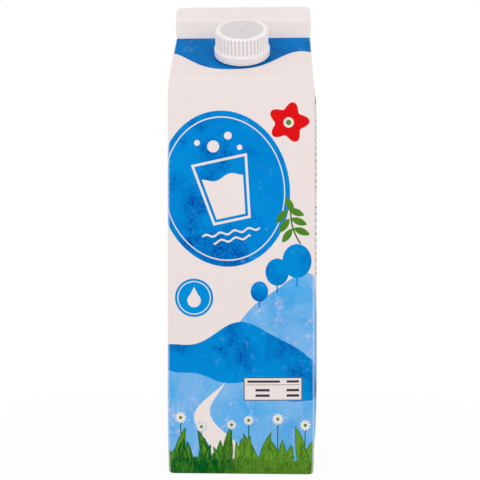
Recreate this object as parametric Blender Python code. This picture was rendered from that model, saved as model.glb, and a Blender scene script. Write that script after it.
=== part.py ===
"""A one-litre gable-top milk carton with a screw cap, standing upright and shut.

The carton is one board, folded: four panels that bulge a little under the milk, a gable whose two
side gussets are tucked in, and a flat fin along the top. Its solid is the outer form of that board.
A moulded neck stands in a hole in the front roof panel, and the ribbed cap is screwed down on it.

Metres, +Z up. The origin is the centre of the base, on the surface that the carton stands on.
The front, with the cap, faces -Y.
"""

import math

import bmesh
import bpy
import numpy as np

MM = 0.001

# Board and body
HALF_SIDE = 35.2 * MM
SHOULDER_HEIGHT = 193.0 * MM
BOARD = 0.45 * MM
PANEL_BULGE = 2.6 * MM
EDGE_BOW = 0.6 * MM
BULGE_SKEW = 0.86
BULGE_FULLNESS = 0.55
SIDE_FOOT_STRETCH = 15.0 * MM
SIDE_FOOT_POWER = 1.5
SIDE_SHOULDER_STRETCH = 4.0 * MM
SHOULDER_SHARPNESS = 0.95
SHARP_STRETCH = 14.0 * MM
BASE_CREASE = 1.5 * MM
PANEL_STEPS = 13
BODY_STEPS = 22

# Base, pressed in a little inside a rim
RECESS_HALF = 30.0 * MM
RECESS_DEPTH = 0.7 * MM
FLAP_EDGE_Y = 8.0 * MM
FLAP_MARGIN = 1.0 * MM

# Gable and fin
GABLE_RISE = 26.9 * MM
FIN_HEIGHT = 16.3 * MM
FOLD_PINCH = 0.45 * MM
FOLD_PINCH_RISE = 4.0 * MM
FIN_FOUR_LAYERS = 8.2 * MM
FIN_STEP = 2.4 * MM
FIN_CORNER_RADIUS = 3.0 * MM
FIN_CORNER_STEPS = 4
HALF_FOUR_LAYERS = 2.0 * BOARD
HALF_TWO_LAYERS = 1.0 * BOARD

# Neck and cap, measured along the cap's axis from the roof panel
CAP_UP_SLOPE = 24.4 * MM
NECK_RADIUS = 12.2 * MM
NECK_FOOT = -1.0 * MM
FIT_GAP = 0.3 * MM
HOLE_ABOVE = 4.0 * MM
CAP_FOOT = 0.6 * MM
CAP_TOP = 14.0 * MM
BAND_RADIUS = 14.0 * MM
BAND_DRAFT = 0.1 * MM
BAND_FOOT_ROUND = 0.8 * MM
BAND_FOOT_RISE = 0.3 * MM
BAND_TOP = 4.6 * MM
COLLAR_TOP = 5.3 * MM
RIB_FOOT = 5.7 * MM
RIB_RADIUS = 13.3 * MM
RIB_DEPTH = 0.42 * MM
RIBS = 42
DISC_RADIUS = 10.75 * MM
DISC_SINK = 0.2 * MM
DISC_STEP = 0.3 * MM
RIM_DROP = 0.6 * MM
RIM_STEPS = 3
SLIT_LOW = 3.5 * MM
SLIT_HIGH = 3.9 * MM
SLIT_DEPTH = 0.8 * MM
SLIT_WALL = 0.06 * MM
SLITS = 4
SLIT_ARC = math.radians(27)
NUB_RADIUS = 0.6 * MM
NUB_HEIGHT = 0.3 * MM
NUB_SHOULDER = 0.7
NUB_RING = 2.0
NECK_SIDES = 64
NECK_TOP = CAP_FOOT - FIT_GAP

# What follows from those
SLOPE = math.atan2(GABLE_RISE, HALF_SIDE - HALF_FOUR_LAYERS)
FOLD_HEIGHT = SHOULDER_HEIGHT + GABLE_RISE
FOLD_HALF = HALF_SIDE - FOLD_PINCH
GUSSET_INSET = 2.0 * BOARD / math.sin(SLOPE)
CORNER_RADIUS = GUSSET_INSET
CEILING_HEIGHT = SHOULDER_HEIGHT + math.tan(SLOPE) * (HALF_SIDE - GUSSET_INSET)

MERGE_DISTANCE = 1e-6


def clear_scene():
    """Removes whatever objects the file opened with."""
    for item in list(bpy.data.objects):
        bpy.data.objects.remove(item, do_unlink=True)


def material(name, colour, roughness):
    """A plain Principled material."""
    made = bpy.data.materials.new(name)
    made.use_nodes = True
    shader = made.node_tree.nodes["Principled BSDF"]
    shader.inputs["Base Color"].default_value = (*colour, 1.0)
    shader.inputs["Roughness"].default_value = roughness
    shader.inputs["Metallic"].default_value = 0.0
    made.diffuse_color = (*colour, 1.0)
    return made


def add_grid(bm, points):
    """Adds a grid of points, rows by columns, as quads. Neighbouring grids share their border points."""
    rows, columns = points.shape[:2]
    made = [[bm.verts.new(points[r, c]) for c in range(columns)] for r in range(rows)]
    for r in range(rows - 1):
        for c in range(columns - 1):
            bm.faces.new((made[r][c], made[r][c + 1], made[r + 1][c + 1], made[r + 1][c]))


def finish_object(bm, name, finish, smooth_angle=None):
    """Welds the grids' shared points, points the faces outwards and makes the named object."""
    bmesh.ops.remove_doubles(bm, verts=bm.verts, dist=MERGE_DISTANCE)
    bmesh.ops.dissolve_degenerate(bm, edges=bm.edges, dist=MERGE_DISTANCE)
    bmesh.ops.recalc_face_normals(bm, faces=bm.faces)
    mesh = bpy.data.meshes.new(name)
    bm.to_mesh(mesh)
    bm.free()
    mesh.materials.append(finish)
    if smooth_angle is not None:
        mesh.shade_smooth()
        mesh.set_sharp_from_angle(angle=smooth_angle)
    made = bpy.data.objects.new(name, mesh)
    bpy.context.scene.collection.objects.link(made)
    return made


def quarter_turns(points, turns):
    """Points turned about the vertical axis by a number of quarter turns."""
    x, y, z = points[..., 0], points[..., 1], points[..., 2]
    for _ in range(turns % 4):
        x, y = -y, x
    return np.stack([x, y, z], -1)


def swelling(height):
    """How full the front and back are at a height: 0 at the base and the shoulder, 1 at the fullest."""
    share = np.clip(height / SHOULDER_HEIGHT, 0.0, 1.0)
    return np.abs(np.sin(np.pi * share**BULGE_SKEW)) ** BULGE_FULLNESS


def side_swelling(height):
    """How full the side panels and the creases are at a height.

    The gable's folded ends push them out within a few millimetres of the shoulder, and above the
    base they fill out over a longer stretch."""
    from_base = 1 - math.exp(-((height / SIDE_FOOT_STRETCH) ** SIDE_FOOT_POWER))
    from_shoulder = 1 - math.exp(-max(SHOULDER_HEIGHT - height, 0.0) / SIDE_SHOULDER_STRETCH)
    return from_base * from_shoulder


def corner_share(height):
    """Where the corner's one point lies between the flat stretch's end, 0, and a sharp corner, 1.

    It lies on the crease's arc, and just under the shoulder it runs out to where the roof panel,
    which keeps its full width, meets the crease."""
    near = np.clip((height - SHOULDER_HEIGHT + SHARP_STRETCH) / SHARP_STRETCH, 0.0, 1.0)
    on_arc = math.sqrt(0.5)
    return on_arc + (SHOULDER_SHARPNESS - on_arc) * near**2


def panel_section(height, fullness, crease=0.0):
    """One panel's points at a height, in the front's place, from its left crease to its right corner.

    The flat stretch bulges as a half wave across the panel."""
    half = HALF_SIDE + EDGE_BOW * side_swelling(height) - crease
    flat = half - CORNER_RADIUS
    across = np.linspace(-flat, flat, PANEL_STEPS)
    out = half + PANEL_BULGE * float(fullness(height)) * np.cos(np.pi / 2 * across / flat)
    corner = flat + CORNER_RADIUS * float(corner_share(height))
    x = np.append(across, corner)
    y = -np.append(out, corner)
    return np.stack([x, y, np.full_like(x, height)], -1)


def ring(height, crease=0.0):
    """The closed outline of the body at a height: front, right side, back and left side."""
    front = panel_section(height, swelling, crease)
    side = panel_section(height, side_swelling, crease)
    return np.concatenate([quarter_turns(side if turn % 2 else front, turn) for turn in range(4)])


def body_rings():
    """Rings from the base to the shoulder, each closed by repeating its first point.

    The fold round the base is a quarter round with one ring at its middle."""
    middle = BASE_CREASE * (1 - math.sqrt(0.5))
    rings = [ring(0.0, BASE_CREASE), ring(middle, middle)]
    for step in range(BODY_STEPS + 1):
        share = 0.5 - 0.5 * math.cos(math.pi * step / BODY_STEPS)
        rings.append(ring(BASE_CREASE + (SHOULDER_HEIGHT - BASE_CREASE) * share))
    return np.stack([np.append(r, r[:1], axis=0) for r in rings])


def shoulder_front():
    """The shoulder's points along the front, from the left corner to the right corner."""
    section = panel_section(SHOULDER_HEIGHT, swelling)
    left_corner = section[-1:] * np.array([-1.0, 1.0, 1.0])
    return np.concatenate([left_corner, section])


def gable_front():
    """The front roof panel, flat, from the shoulder up to the fold under the fin."""
    lower = shoulder_front()
    upper = lower.copy()
    upper[0, 0], upper[-1, 0] = -FOLD_HALF, FOLD_HALF
    upper[:, 1] = -HALF_FOUR_LAYERS
    upper[:, 2] = FOLD_HEIGHT
    return np.stack([lower, upper])


def fin_rows():
    """Height above the fold, half thickness and half length of each row of the fin.

    Four layers of board reach part way up, drawn in a little at the fold; above them only the two
    outer panels are left, and their top corners are cut round."""
    rows = [
        (0.0, HALF_FOUR_LAYERS, FOLD_HALF),
        (FOLD_PINCH_RISE, HALF_FOUR_LAYERS, HALF_SIDE),
        (FIN_FOUR_LAYERS, HALF_FOUR_LAYERS, HALF_SIDE),
        (FIN_FOUR_LAYERS + FIN_STEP, HALF_TWO_LAYERS, HALF_SIDE),
    ]
    for step in range(FIN_CORNER_STEPS + 1):
        turn = math.pi / 2 * step / FIN_CORNER_STEPS
        height = FIN_HEIGHT - FIN_CORNER_RADIUS * (1 - math.sin(turn))
        half_length = HALF_SIDE - FIN_CORNER_RADIUS * (1 - math.cos(turn))
        rows.append((height, HALF_TWO_LAYERS, half_length))
    return rows


def fin_front():
    """The fin's front face, with the roof panel's columns drawn in towards its round corners."""
    columns = gable_front()[1][:, 0] / FOLD_HALF
    made = []
    for height, half_thick, half_length in fin_rows():
        x = columns * half_length
        made.append(np.stack([x, np.full_like(x, -half_thick), np.full_like(x, FOLD_HEIGHT + height)], -1))
    return np.stack(made)


def add_gable_end(bm, turns):
    """The right-hand end of the gable, or with two quarter turns the left-hand one.

    The side panel leans inwards as a triangle, and its two gussets lie against the roof panels, so
    the end shows a hollow with the doubled edges of the roof panels on each side of it."""
    side = quarter_turns(panel_section(SHOULDER_HEIGHT, side_swelling), 1)[:-1]
    apex = np.array([GUSSET_INSET, 0.0, CEILING_HEIGHT])
    ceiling_end = np.array([FOLD_HALF, 0.0, CEILING_HEIGHT])
    corner = shoulder_front()[-1]
    fold_end = np.array([FOLD_HALF, -HALF_FOUR_LAYERS, FOLD_HEIGHT])
    mirror = np.array([1.0, -1.0, 1.0])
    triangles = [(side[i], side[i + 1], apex) for i in range(len(side) - 1)]
    for flip, foot in ((np.ones(3), side[0]), (mirror, side[0])):
        outer, top, inner = corner * flip, fold_end * flip, foot * flip
        triangles += [(inner, ceiling_end, apex), (outer, top, inner), (top, ceiling_end, inner)]
    triangles.append((fold_end, fold_end * mirror, ceiling_end))
    for triangle in triangles:
        bm.faces.new([bm.verts.new(p) for p in quarter_turns(np.stack(triangle), turns)])


def make_carton(finish):
    """The folded board: body, gable, gussets, fin and base as one closed solid."""
    bm = bmesh.new()
    rings = body_rings()
    add_grid(bm, rings)
    bm.faces.new([bm.verts.new(p) for p in rings[0][:-1]])
    for turns in (0, 2):
        add_grid(bm, quarter_turns(gable_front(), turns))
        add_grid(bm, quarter_turns(fin_front(), turns))
        add_gable_end(bm, turns)
    front = fin_front()
    back = front * np.array([1.0, -1.0, 1.0])
    for column in (0, -1):
        add_grid(bm, np.stack([front[:, column], back[:, column]], 1))
    add_grid(bm, np.stack([front[-1], back[-1]]))
    return finish_object(bm, "carton", finish)


def hide_cutter(cutter):
    """Keeps a cutter out of the finished part."""
    cutter.hide_render = True
    cutter.display_type = "WIRE"


def cut(target, cutter):
    """Takes the cutter's shape out of the target."""
    step = target.modifiers.new("cut " + cutter.name, "BOOLEAN")
    step.operation = "DIFFERENCE"
    step.solver = "EXACT"
    step.object = cutter
    hide_cutter(cutter)


def box_cutter(name, low, high, finish):
    """A box between two corners, as a cutter."""
    bm = bmesh.new()
    bmesh.ops.create_cube(bm, size=1.0)
    for vert in bm.verts:
        for axis in range(3):
            vert.co[axis] = low[axis] if vert.co[axis] < 0 else high[axis]
    return finish_object(bm, name, finish)


def cap_place():
    """An empty on the front roof panel whose Z axis is the cap's axis."""
    place = bpy.data.objects.new("cap_place", None)
    bpy.context.scene.collection.objects.link(place)
    place.location = (
        0.0,
        -HALF_SIDE + CAP_UP_SLOPE * math.cos(SLOPE),
        SHOULDER_HEIGHT + CAP_UP_SLOPE * math.sin(SLOPE),
    )
    place.rotation_euler = (SLOPE, 0.0, 0.0)
    return place


def disc_between(name, radius, low, high, finish):
    """A round solid on the cap's axis between two heights."""
    bm = bmesh.new()
    bmesh.ops.create_cone(
        bm, cap_ends=True, segments=NECK_SIDES, radius1=radius, radius2=radius, depth=high - low
    )
    bmesh.ops.translate(bm, verts=bm.verts, vec=(0.0, 0.0, (low + high) / 2))
    return finish_object(bm, name, finish, smooth_angle=math.radians(40))


def cap_profile():
    """The cap's rows from its foot to the middle of its top: radius, height, rib share and slit share."""
    rows = [
        (BAND_RADIUS - BAND_FOOT_ROUND, CAP_FOOT, 0, 0),
        (BAND_RADIUS - BAND_DRAFT, CAP_FOOT + BAND_FOOT_RISE, 0, 0),
        (BAND_RADIUS, SLIT_LOW - SLIT_WALL, 0, 0),
        (BAND_RADIUS, SLIT_LOW, 0, 1),
        (BAND_RADIUS, SLIT_HIGH, 0, 1),
        (BAND_RADIUS, SLIT_HIGH + SLIT_WALL, 0, 0),
        (BAND_RADIUS - BAND_DRAFT, BAND_TOP, 0, 0),
        (RIB_RADIUS, COLLAR_TOP, 0, 0),
        (RIB_RADIUS, RIB_FOOT, 1, 0),
        (RIB_RADIUS, CAP_TOP - RIM_DROP, 1, 0),
    ]
    for step in range(1, RIM_STEPS + 1):
        turn = math.pi / 2 * step / RIM_STEPS
        radius = DISC_RADIUS + (RIB_RADIUS - DISC_RADIUS) * math.cos(turn)
        rows.append((radius, CAP_TOP - RIM_DROP * (1 - math.sin(turn)), 0, 0))
    disc_height = CAP_TOP - DISC_SINK
    rows += [
        (DISC_RADIUS - DISC_STEP, disc_height, 0, 0),
        (NUB_RING * NUB_RADIUS, disc_height, 0, 0),
        (NUB_RADIUS, disc_height + NUB_SHOULDER * NUB_HEIGHT, 0, 0),
    ]
    return rows


def make_cap(finish):
    """The screw cap with its tamper band: one moulding, turned, with ribs all round and four slits."""
    columns = 2 * RIBS
    turn = 2 * math.pi * np.arange(columns + 1) / columns
    groove = (np.arange(columns + 1) % 2).astype(float)
    from_slit = np.abs((turn + math.pi / SLITS) % (2 * math.pi / SLITS) - math.pi / SLITS)
    in_slit = (from_slit <= SLIT_ARC / 2).astype(float)
    rows = []
    for radius, height, ribbed, slitted in cap_profile():
        r = radius - RIB_DEPTH * ribbed * groove - SLIT_DEPTH * slitted * in_slit
        rows.append(np.stack([r * np.sin(turn), -r * np.cos(turn), np.full_like(r, height)], -1))
    foot = np.broadcast_to([0.0, 0.0, CAP_FOOT], rows[0].shape)
    crown = np.broadcast_to([0.0, 0.0, CAP_TOP - DISC_SINK + NUB_HEIGHT], rows[0].shape)
    bm = bmesh.new()
    add_grid(bm, np.stack([foot, *rows, crown]))
    return finish_object(bm, "cap", finish, smooth_angle=math.radians(40))


def main():
    clear_scene()
    board = material("coated_board", (0.86, 0.80, 0.78), 0.45)
    moulding = material("white_moulding", (0.80, 0.76, 0.76), 0.35)

    carton = make_carton(board)
    place = cap_place()
    cap = make_cap(moulding)
    neck = disc_between("neck", NECK_RADIUS, NECK_FOOT, NECK_TOP, moulding)
    hole = disc_between("hole", NECK_RADIUS + FIT_GAP, NECK_FOOT - FIT_GAP, HOLE_ABOVE, board)
    for item in (cap, neck, hole):
        item.parent = place

    below = -5.0 * MM
    recess = box_cutter(
        "recess", (-RECESS_HALF, -RECESS_HALF, below), (RECESS_HALF, RECESS_HALF, RECESS_DEPTH), board
    )
    inner = RECESS_HALF - FLAP_MARGIN
    under_flap = box_cutter(
        "under_flap", (-inner, FLAP_EDGE_Y, below), (inner, inner, RECESS_DEPTH + BOARD), board
    )
    for cutter in (hole, recess, under_flap):
        cut(carton, cutter)


main()
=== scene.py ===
"""A one-litre gable-top milk carton, dressed: folded and printed board, a ribbed screw cap, a studio.

Laid out as an add-on and run as a script. Each piece has its operator, and what a user would change
is in the property groups. Lengths are in metres, apart from the print's, which are in millimetres on
the flat board: across from the front panel's left crease, and up from the base.
"""

import math

import bmesh
import bpy
import numpy as np
from bpy.props import FloatProperty, FloatVectorProperty, IntProperty, PointerProperty
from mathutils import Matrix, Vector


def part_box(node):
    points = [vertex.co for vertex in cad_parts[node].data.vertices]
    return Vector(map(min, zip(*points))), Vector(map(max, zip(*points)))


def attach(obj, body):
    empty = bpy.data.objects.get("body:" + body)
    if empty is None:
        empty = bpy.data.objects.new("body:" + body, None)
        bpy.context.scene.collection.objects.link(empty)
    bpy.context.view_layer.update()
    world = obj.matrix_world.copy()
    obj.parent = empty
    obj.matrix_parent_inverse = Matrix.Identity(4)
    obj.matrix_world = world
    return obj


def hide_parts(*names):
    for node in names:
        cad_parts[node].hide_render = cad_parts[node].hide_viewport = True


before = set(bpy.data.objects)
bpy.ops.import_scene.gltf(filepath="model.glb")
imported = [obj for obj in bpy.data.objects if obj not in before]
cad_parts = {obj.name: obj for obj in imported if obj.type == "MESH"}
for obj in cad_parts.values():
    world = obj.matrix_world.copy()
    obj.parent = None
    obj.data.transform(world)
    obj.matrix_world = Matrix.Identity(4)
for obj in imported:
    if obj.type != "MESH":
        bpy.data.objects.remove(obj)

bl_info = {
    "name": "Gable-top milk carton",
    "version": (1, 0, 0),
    "blender": (4, 5, 0),
    "location": "3D View > Sidebar > Carton",
    "description": "Builds a printed gable-top milk carton with a ribbed screw cap",
    "category": "Add Mesh",
}

MM = 0.001
CARTON_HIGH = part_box("carton")[1]
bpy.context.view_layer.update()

SIDES = 4
LEFT, FRONT, RIGHT, BACK = range(SIDES)
MERGE_DISTANCE = 2e-6
SHARP_ANGLE = math.radians(60)


def srgb(red, green, blue):
    """A colour of 0 to 255 as the linear numbers that a shader takes."""
    share = np.array([red, green, blue]) / 255.0
    return tuple(np.where(share <= 0.04045, share / 12.92, ((share + 0.055) / 1.055) ** 2.4))


def number(name, description, default, **kind):
    """A plain number, for a property group."""
    return FloatProperty(name=name, description=description, default=default, **kind)


def length(name, description, millimetres):
    """A length, for a property group."""
    return number(name, description, millimetres * MM, subtype="DISTANCE", unit="LENGTH")


def colour(name, description, *levels):
    """A colour of 0 to 255, for a property group."""
    return FloatVectorProperty(
        name=name, description=description, default=srgb(*levels), subtype="COLOR", size=3, min=0.0, max=1.0
    )


class CartonForm(bpy.types.PropertyGroup):
    """Sizes of the folded board."""

    half_side: length("Half side", "Half the width of a panel at the shoulder", 35.2)
    shoulder_height: length("Shoulder", "Height of the fold between the body and the gable", 193.0)
    gable_rise: length("Gable rise", "Height from the shoulder to the fold under the fin", 26.9)
    board: length("Board", "Thickness of the board", 0.45)
    edge_bow: length("Edge bow", "How far the upright creases bow outwards", 0.6)
    crease_radius: length("Crease radius", "Radius of the upright creases", 1.47)
    base_crease: length("Base crease", "Radius of the fold round the base", 1.5)
    fold_pinch: length("Fold pinch", "How far the ends of the fold under the fin draw in", 0.45)
    pinch_rise: length("Pinch rise", "Height over which the fin's ends widen again", 4.0)
    four_layers: length("Four layers", "Height of the fin's lower, thicker stretch", 8.2)
    fin_step: length("Fin step", "Height over which the fin thins to two layers", 2.4)
    fin_corner: length("Fin corner", "Radius of the fin's top corners", 3.0)
    recess_half: length("Recess", "Half the width of the recess in the base", 30.0)
    recess_depth: length("Recess depth", "Depth of the recess in the base", 0.7)
    seam_lift: length("Seam lift", "How far the lapped edge stands out at the rear corner", 0.35)
    unevenness: length("Unevenness", "How far the panels wander from a true form", 0.1)


class CapForm(bpy.types.PropertyGroup):
    """Sizes of the screw cap, along its axis from the roof panel, and its colours."""

    up_slope: length("Up the slope", "From the shoulder to the cap's axis, along the roof", 24.4)
    foot: length("Foot", "Height of the cap's lower rim", 0.6)
    top: length("Top", "Height of the cap's rounded rim", 14.0)
    band_radius: length("Band radius", "Radius of the tamper band", 14.0)
    rib_radius: length("Rib radius", "Radius over the ribs", 13.3)
    rib_depth: length("Rib depth", "Depth of the grooves between the ribs", 0.42)
    disc_radius: length("Disc radius", "Radius of the flat top", 10.75)
    ribs: IntProperty(name="Ribs", description="Number of ribs round the cap", default=42, min=8)
    slits: IntProperty(name="Slits", description="Number of slits over the tamper band", default=4, min=1)
    plastic: colour("Plastic", "Colour of the moulding", 241, 235, 235)
    disc_grey: colour("Disc", "Colour of the matt disc on the cap", 214, 209, 210)
    # Painted light: the ribs' colour is a painted highlight on the ridges, and the grooves' colour is painted
    # shade deep between them.
    rib_painted_highlight: colour("Ribs", "Colour of the ribs between the grooves", 255, 251, 251)
    groove_painted_shade: colour("Grooves", "Colour deep between the ribs", 225, 216, 218)


class PrintLook(bpy.types.PropertyGroup):
    """Colours of the board and its print."""

    board: colour("Board", "Coated white board", 233, 222, 219)
    raw_edge: colour("Raw edge", "Cut edge of the board", 214, 196, 172)
    roof_blue: colour("Roof blue", "Field at the top of the gable", 0, 106, 180)
    label_blue: colour("Label blue", "The large oval", 0, 130, 208)
    deep_blue: colour("Deep blue", "Where blue paint has pooled", 0, 68, 156)
    hill_light: colour("Light hill", "The furthest hill", 127, 183, 231)
    hill_mid: colour("Middle hill", "The middle hill", 0, 131, 206)
    hill_near: colour("Near hill", "The nearest hill", 74, 168, 230)
    azure: colour("Azure", "Lighter washes in the blues", 0, 156, 230)
    lilac: colour("Lilac", "Paler washes in the light blues", 160, 184, 232)
    meadow_left: colour("Meadow left", "Meadow green at the left", 4, 92, 32)
    meadow_right: colour("Meadow right", "Meadow green at the right", 89, 135, 38)
    leaf: colour("Leaf", "The sprig", 89, 142, 41)
    red: colour("Red", "The blossom", 226, 20, 25)
    # Crease: partly the paler board where ink cracks at the folds, partly a painted highlight; on the fin it
    # is painted light that lifts board shaded by the roof and cap.
    crease: colour("Crease", "Board stretched along the upright creases", 250, 244, 243)
    ink: colour("Ink", "Thin rules and bars", 60, 56, 66)


class StudioLook(bpy.types.PropertyGroup):
    """Camera, lights and floor."""

    camera_distance: length("Camera distance", "From the front panel to the camera", 442.6)
    camera_height: length("Camera height", "Height of the camera above the floor", 114.05)
    camera_side: length("Camera side", "How far the camera stands to the left", 1.69)
    camera_turn: number("Camera turn", "Turn round the carton", math.radians(2.05), subtype="ANGLE")
    lens: number("Lens", "Focal length in millimetres", 68.23)
    surround: number("Surround", "Light from the white surround", 0.75)
    key_power: number("Keys", "Power of the front lights in watts", 6.4)
    floor_clearness: number("Clearness", "Surround seen through the floor", 0.95)
    floor_colour: colour("Floor", "The pale floor", 250, 250, 250)


# Meshes from grids of points


def smooth(share):
    """0 below 0, 1 above 1 and a smooth cubic between them."""
    share = np.clip(share, 0.0, 1.0)
    return share**2 * (3 - 2 * share)


def eased(count, sharpness=1.0):
    """Numbers from 0 to 1, closer together at both ends: a half turn of a cosine, blended with even steps."""
    even = np.linspace(0.0, 1.0, count)
    return sharpness * (0.5 - 0.5 * np.cos(np.pi * even)) + (1 - sharpness) * even


def points_of(x, y, z):
    """Points from their coordinates, each spread over the others' shape."""
    return np.stack(np.broadcast_arrays(x, y, z), -1)


def lerp(low, high, share):
    """Straight between two points or arrays of points; share has one number for each row."""
    share = np.reshape(share, np.shape(share) + (1,) * max(np.ndim(low), np.ndim(high)))
    return low * (1 - share) + high * share


def quarter_turns(points, turns):
    """Points turned about the vertical axis by a number of quarter turns."""
    x, y, z = np.moveaxis(points, -1, 0)
    for _ in range(turns % SIDES):
        x, y = -y, x
    return points_of(x, y, z)


def running_length(points):
    """The length along a line of points to each of them: the running sum of the straight steps."""
    steps = np.linalg.norm(np.diff(points, axis=0), axis=1)
    return np.concatenate([[0.0], np.cumsum(steps)])


def grid_quads(rows, columns, start=0):
    """The corners of each face of a grid whose points are numbered row by row."""
    index = start + np.arange(rows * columns).reshape(rows, columns)
    return np.stack([index[:-1, :-1], index[:-1, 1:], index[1:, 1:], index[1:, :-1]], -1).reshape(-1, 4)


def new_object(name, data):
    """An object in the scene, from its mesh, light or camera."""
    made = bpy.data.objects.new(name, data)
    bpy.context.scene.collection.objects.link(made)
    return made


class Patchwork:
    """Grids of points that share their borders, gathered and then welded into one mesh.

    Each grid is rows by columns of points, with the flat board's coordinates for each point."""

    def __init__(self):
        self.points = []
        self.flat = []
        self.quads = []
        self.count = 0

    def add(self, points, across, up):
        size = points.shape[:2]
        flat = [np.broadcast_to(values, size).ravel() for values in (across, up)]
        self.points.append(points.reshape(-1, 3))
        self.flat.append(np.stack(flat, -1))
        self.quads.append(grid_quads(*size, self.count))
        self.count += size[0] * size[1]

    def make(self, name, material):
        """The object: welded, without flat faces, closed, its faces pointing outwards and shaded smooth."""
        quads = np.concatenate(self.quads)
        flat = np.concatenate(self.flat)[quads.ravel()]
        mesh = bpy.data.meshes.new(name)
        mesh.from_pydata(np.concatenate(self.points), [], quads)
        mesh.uv_layers.new(name="flat_board").uv.foreach_set("vector", flat.astype(np.float32).ravel())
        bm = bmesh.new()
        bm.from_mesh(mesh)
        bmesh.ops.remove_doubles(bm, verts=bm.verts, dist=MERGE_DISTANCE)
        bmesh.ops.dissolve_degenerate(bm, edges=bm.edges, dist=MERGE_DISTANCE)
        bmesh.ops.recalc_face_normals(bm, faces=bm.faces)
        open_edges = sum(not edge.is_manifold for edge in bm.edges)
        if open_edges:
            raise RuntimeError(f"{name} has {open_edges} edges that aren't closed")
        bm.to_mesh(mesh)
        bm.free()
        mesh.shade_smooth()
        mesh.set_sharp_from_angle(angle=SHARP_ANGLE)
        mesh.materials.append(material)
        return new_object(name, mesh)


# The folded board


PANEL_COLUMNS = 56
CORNER_COLUMNS = 7
HALF_CORNER = (CORNER_COLUMNS + 1) // 2
GUSSET_COLUMNS = 12
BODY_ROWS = 150
ROOF_ROWS = 40
FIN_EDGE_ROWS = 17
BULGE_SKEW = 0.86
BULGE_FULLNESS = 0.55
SIDE_FOOT_STRETCH = 15.0 * MM
SIDE_FOOT_POWER = 1.5
SIDE_SHOULDER_STRETCH = 4.0 * MM
SHOULDER_SHARPNESS = 0.95
SHARP_STRETCH = 14.0 * MM
SEAM_WIDTH = 9.0 * MM
CUT_EDGE_HUMP = 0.04 * MM
FOLDED_EDGE_HUMP = 0.26 * MM
GABLE_HOLLOW = 0.6 * MM
FOLD_ROUND = 0.3 * MM
RECESS_STEP = (0.004, 0.012, 0.03)
RAW_EDGE_ROW = 300.0
FIN_END_ROW = 250.0
BASE_ROW = -10.0


class Fold:
    """The folded form's derived sizes."""

    def __init__(self, form):
        self.form = form
        self.panel = 2 * form.half_side
        self.thick = 2 * form.board
        self.thin = form.board
        self.slope = math.atan2(form.gable_rise, form.half_side - self.thick)
        self.roof_length = math.hypot(form.gable_rise, form.half_side - self.thick)
        self.fold_height = form.shoulder_height + form.gable_rise
        self.fold_half = form.half_side - form.fold_pinch
        self.fin_height = CARTON_HIGH[2] - self.fold_height - CUT_EDGE_HUMP
        self.inset = self.thick / math.sin(self.slope)
        self.ceiling = form.shoulder_height + math.tan(self.slope) * (form.half_side - self.inset)
        self.bulge = CARTON_HIGH[0] - form.half_side - form.edge_bow - form.unevenness
        self.arc = form.crease_radius * math.pi / 2
        self.slope_share = eased(ROOF_ROWS, 0.8)


def swelling(form, height):
    """How full the front and back are at a height: the sine of a skewed half wave, to a power under 1."""
    share = np.clip(height / form.shoulder_height, 0.0, 1.0)
    return np.abs(np.sin(np.pi * share**BULGE_SKEW)) ** BULGE_FULLNESS


def side_swelling(form, height):
    """How full the sides and the creases are: two exponential curves, a short one down from the
    shoulder, where the gable's folded ends push out, and a longer one up from the base."""
    from_base = 1 - np.exp(-((height / SIDE_FOOT_STRETCH) ** SIDE_FOOT_POWER))
    from_shoulder = 1 - np.exp(-np.clip(form.shoulder_height - height, 0.0, None) / SIDE_SHOULDER_STRETCH)
    return from_base * from_shoulder


def corner_power(form, height):
    """The power of the crease's superellipse: 1 on a round crease, and near 0 at the sharp shoulder."""
    near = np.clip((height - form.shoulder_height + SHARP_STRETCH) / SHARP_STRETCH, 0.0, 1.0)
    share = math.sqrt(0.5) + (SHOULDER_SHARPNESS - math.sqrt(0.5)) * near**2
    return np.log(share) / math.log(math.sqrt(0.5))


def wander(across, up, seed):
    """A slow unevenness between -1 and 1: the mean of four sine waves that run in different directions."""
    waves = ((0.11, 0.045, 0.3), (-0.07, 0.083, 1.9), (0.031, -0.118, 4.1), (0.16, 0.021, 2.7))
    return sum(np.sin(a * across + b * up + c + 2.1 * seed) for a, b, c in waves) / len(waves)


def flat_columns():
    """Places across a panel from -1 to 1, with both ends doubled, for the step at the lapped edge."""
    return np.pad(2 * eased(PANEL_COLUMNS, 0.35) - 1, 1, mode="edge")


def seam_profile(form):
    """The lapped edge's height over the panel at each flat column: a ramp up to the edge, then a drop."""
    from_edge = (1 - flat_columns()) * form.half_side
    lift = form.seam_lift * smooth(1 - from_edge / SEAM_WIDTH)
    lift[-1] = 0.0
    return lift


def panel_section(fold, height, side):
    """One panel's points at each height, in the front panel's place, to just before the next panel.

    Across the flat stretch the panel stands out by a half cosine wave, scaled by how full it is, and
    the crease is a quarter of a superellipse."""
    form = fold.form
    height = height[:, None]
    sides = side_swelling(form, height)
    full = sides if side in (LEFT, RIGHT) else swelling(form, height)
    lifted = np.clip(height / form.base_crease, 0.0, 1.0)
    crease = form.base_crease * (1 - np.sqrt(1 - (1 - lifted) ** 2))
    half = form.half_side + form.edge_bow * sides - crease
    flat = half - form.crease_radius
    places = flat_columns()
    x = flat * places
    uneven = wander(x / MM + 77 * side, height / MM, side) * form.unevenness
    out = half + (fold.bulge + uneven) * full * np.cos(np.pi / 2 * places)
    if side == BACK:
        out = out + seam_profile(form)
    turn = np.linspace(0.0, np.pi / 2, CORNER_COLUMNS + 2)[1:-1]
    power = corner_power(form, height)
    x = np.concatenate([x, flat + form.crease_radius * np.sin(turn) ** power], 1)
    out = np.concatenate([out, flat + form.crease_radius * np.cos(turn) ** power], 1)
    return points_of(x, -out, height)


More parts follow.
